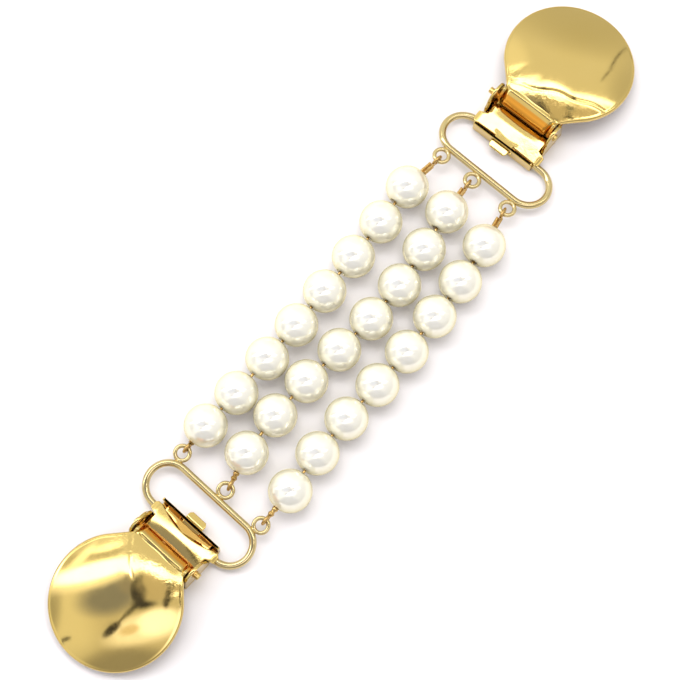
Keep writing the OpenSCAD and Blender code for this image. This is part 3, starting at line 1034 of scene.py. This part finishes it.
def jawPaintedReflection(end, verts):
    # painted amber reflection at the root of the tongue, behind the plate's hollowed edge
    wallRear, rear, scoop = clip[end][4:7]
    s, v, _ = clipPoint(end, verts)
    edge = rear + scoop * np.clip(1 - (v / jaw["bowHalf"]) ** 2, 0, 1) - 0.1
    return 0.4 * fade(s, edge, edge - 0.2) * fade(s, wallRear + 0.5, wallRear + 0.8) * (np.abs(v) < 6)


def basePaintedReflection(end, verts):
    # painted amber reflection inside the base, on its floor and the inner side of its rear wall
    wallRear = clip[end][4]
    s, v, z = clipPoint(end, verts)
    inside = (np.abs(v) < clip["earsInside"] / 2 + 0.1) * fade(s, wallRear + 0.42, wallRear + 0.54)
    return inside * fade(z, 0.3, 0.5) * fade(z, 3.3, 3.0)


for end in "ab":
    upper = end.upper()
    solids = place(end, baseSolids(end))
    makePiece(
        f"clipBase{upper}", solids, goldPlate, f"clip_{end}", [f"base_{end}"], "gold_plate",
        warm=lambda verts: basePaintedReflection(end, verts),
    )
    solids = place(end, jawSolids(end))
    makePiece(
        f"clipJaw{upper}", solids, goldPlate, f"jaw_{end}", [f"jaw_{end}"], "jaw_gold",
        mark=lambda verts: plateMark(end, verts), warm=lambda verts: jawPaintedReflection(end, verts),
    )
    solids = place(end, leverSolids(end))
    makePiece(
        f"clipLever{upper}", solids, goldPlate, f"lever_{end}", [f"lever_{end}"], "gold_plate",
        sharp=50, mark=lambda verts: neckMark(end, verts), warm=lambda verts: leverPaintedReflection(end, verts),
    )
print("clips made")

# Table and light.

studio = {
    "tableColor": (0.77, 0.745, 0.73),
    # The room is painted by direction, as seen in the polished parts: across and up are where a direction
    # points to the right and to the top of the picture. Each patch: middle, half size, turn in degrees,
    # softness of its edge, brightness; a later patch covers an earlier one.
    "turn": 50.76,
    "low": (0.55, 0.54, 0.51),
    "patches": [
        ((-0.66, -0.2), (0.36, 0.42), 0, 0.7, (0.9, 0.89, 0.85)),
        ((0.0, -0.3), (0.55, 0.45), 0, 0.7, (0.72, 0.7, 0.66)),
        ((0.0, 6.15), (12.0, 6.0), 0, 0.02, (0.82, 0.82, 0.81)),
        ((-0.15, -0.9), (0.85, 0.27), 0, 0.5, (0.36, 0.355, 0.36)),
        ((0.04, -0.43), (0.46, 0.15), 13, 0.6, (1.3, 1.3, 1.5)),
        ((0.18, -0.36), (0.24, 0.13), 22, 0.7, (1.8, 1.8, 2.3)),
        ((-0.14, -0.46), (0.12, 0.05), 14, 0.8, (0.95, 0.84, 0.74)),
        ((0.5, 1.0), (0.8, 0.33), -12, 0.9, (0.6, 0.6, 0.58)),
        ((0.92, 0.3), (0.22, 0.5), 0, 0.9, (0.6, 0.6, 0.59)),
        ((-0.34, 0.6), (0.16, 0.24), 0, 0.9, (1.0, 1.0, 1.0)),
        ((0.26, 0.03), (0.6, 0.115), -6, 0.5, (0.66, 0.61, 0.55)),
        ((-0.97, -0.12), (0.11, 0.62), 0, 0.7, (0.48, 0.48, 0.46)),
        ((-0.38, -0.06), (0.33, 0.21), 10, 0.75, (0.3, 0.32, 0.42)),
        ((-0.17, 0.09), (0.1, 0.12), 0, 0.8, (0.36, 0.36, 0.42)),
        ((-0.56, 0.38), (0.36, 0.075), 22, 0.7, (0.58, 0.58, 0.54)),
        ((-0.66, 0.38), (0.2, 0.032), 46, 0.8, (1.7, 1.7, 1.8)),
        ((-0.41, 0.49), (0.2, 0.032), 15, 0.8, (2.2, 2.2, 2.3)),
        ((-0.57, 0.2), (0.42, 0.14), 14, 0.8, (1.4, 1.4, 1.5)),
        ((-0.51, 0.25), (0.42, 0.09), 16, 0.5, (4.0, 4.0, 4.4)),
        ((-0.14, 0.28), (0.2, 0.055), -4, 0.6, (3.8, 3.8, 4.2)),
        ((0.13, 0.22), (0.21, 0.062), -24, 0.6, (4.2, 4.2, 4.8)),
        ((0.48, 0.135), (0.3, 0.042), -3, 0.6, (3.6, 3.6, 4.0)),
        ((0.5, -0.045), (0.22, 0.026), 4, 0.7, (2.6, 2.6, 2.8)),
        ((-0.35, -0.44), (0.12, 0.05), 34, 0.5, (0.02, 0.02, 0.03)),
        ((-0.19, -0.3), (0.16, 0.017), 42, 0.8, (0.12, 0.11, 0.08)),
        ((-0.12, -0.24), (0.12, 0.03), 40, 0.9, (0.1, 0.1, 0.09)),
        ((0.03, -0.15), (0.14, 0.07), 12, 0.9, (0.05, 0.05, 0.06)),
        ((-0.02, -0.05), (0.075, 0.14), 10, 0.95, (0.07, 0.07, 0.09)),
        ((-0.04, 0.09), (0.035, 0.09), -12, 0.9, (0.14, 0.14, 0.15)),
        ((-0.79, -0.43), (0.035, 0.016), -12, 0.6, (0.05, 0.05, 0.05)),
        ((0.28, -0.1), (0.037, 0.11), 3, 0.5, (0.04, 0.04, 0.04)),
        ((0.29, 0.06), (0.045, 0.035), 0, 0.8, (0.12, 0.14, 0.14)),
        ((0.685, 0.58), (0.008, 0.13), -7, 0.7, (0.1, 0.1, 0.09)),
        ((0.65, 0.43), (0.012, 0.09), -24, 0.8, (0.36, 0.36, 0.34)),
    ],
    "worldStrength": 1.35,
    # name, place mm, target mm, size mm, power W, colour
    "lamp": ("lampOver", (90, 60, 520), (0, 0, 0), (300, 300), 1.2, (1.0, 0.99, 0.97)),
}


def makeTable(color):
    # one wide flat sheet, in metres, a hair under the clips
    side, below = 3.0, 0.00003
    x, y = np.meshgrid([-side, side], [-side, side])
    verts = np.stack([x, y, 0 * x - below], -1).reshape(-1, 3)
    mesh = bpy.data.meshes.new("table")
    mesh.from_pydata(verts.tolist(), [], [(0, 1, 3, 2)])
    material, _, _, shader = newMaterial("tableWhite")
    setInputs(shader, {"Base Color": (*color, 1), "Roughness": 0.9})
    mesh.materials.append(material)
    table = bpy.data.objects.new("table", mesh)
    scene.collection.objects.link(table)


def makeLight(name, at, target, size, power, color):
    # a rectangular lamp that faces its target and doesn't show in the polished parts
    data = bpy.data.lights.new(name, "AREA")
    data.shape = "RECTANGLE"
    data.size, data.size_y = size[0] * mm, size[1] * mm
    data.energy, data.color = power, color
    lamp = bpy.data.objects.new(name, data)
    lamp.visible_glossy = False
    lamp.location = Vector(at) * mm
    lamp.rotation_euler = (Vector(target) - Vector(at)).to_track_quat("-Z", "Y").to_euler()
    scene.collection.objects.link(lamp)


def makeWorld(s):
    # direction turned to the picture's axes; inside a patch x^2 + y^2 < 1 in its own turned and scaled axes
    world = bpy.data.worlds.new("studio")
    world.use_nodes = True
    nodes, links = world.node_tree.nodes, world.node_tree.links
    place = addNode(nodes, "ShaderNodeTexCoord")
    turned = addNode(nodes, "ShaderNodeVectorRotate", rotation_type="Z_AXIS", Angle=np.radians(s["turn"]))
    links.new(place.outputs["Object"], turned.inputs["Vector"])
    color = s["low"]
    for middle, half, turn, soft, value in s["patches"]:
        local = addNode(nodes, "ShaderNodeMapping", vector_type="TEXTURE")
        # 1000 makes a patch's third axis so long that height doesn't count
        setInputs(local, {
            "Location": (*middle, 0),
            "Rotation": (0, 0, np.radians(turn)),
            "Scale": (*half, 1000),
        })
        links.new(turned.outputs["Vector"], local.inputs["Vector"])
        square = addNode(nodes, "ShaderNodeVectorMath", operation="DOT_PRODUCT")
        for k in (0, 1):
            links.new(local.outputs["Vector"], square.inputs[k])
        length, edge = square.outputs["Value"], (1 + soft, 1 - soft)
        inside = mapRange(nodes, links, length, edge, (0.0, 1.0), interpolation_type="SMOOTHSTEP")
        color = mixColors(nodes, links, inside, color, value)
    background = nodes["Background"]
    links.new(color, background.inputs["Color"])
    background.inputs["Strength"].default_value = s["worldStrength"]
    scene.world = world


makeTable(studio["tableColor"])
makeWorld(studio)
makeLight(*studio["lamp"])
print("table and lights made")
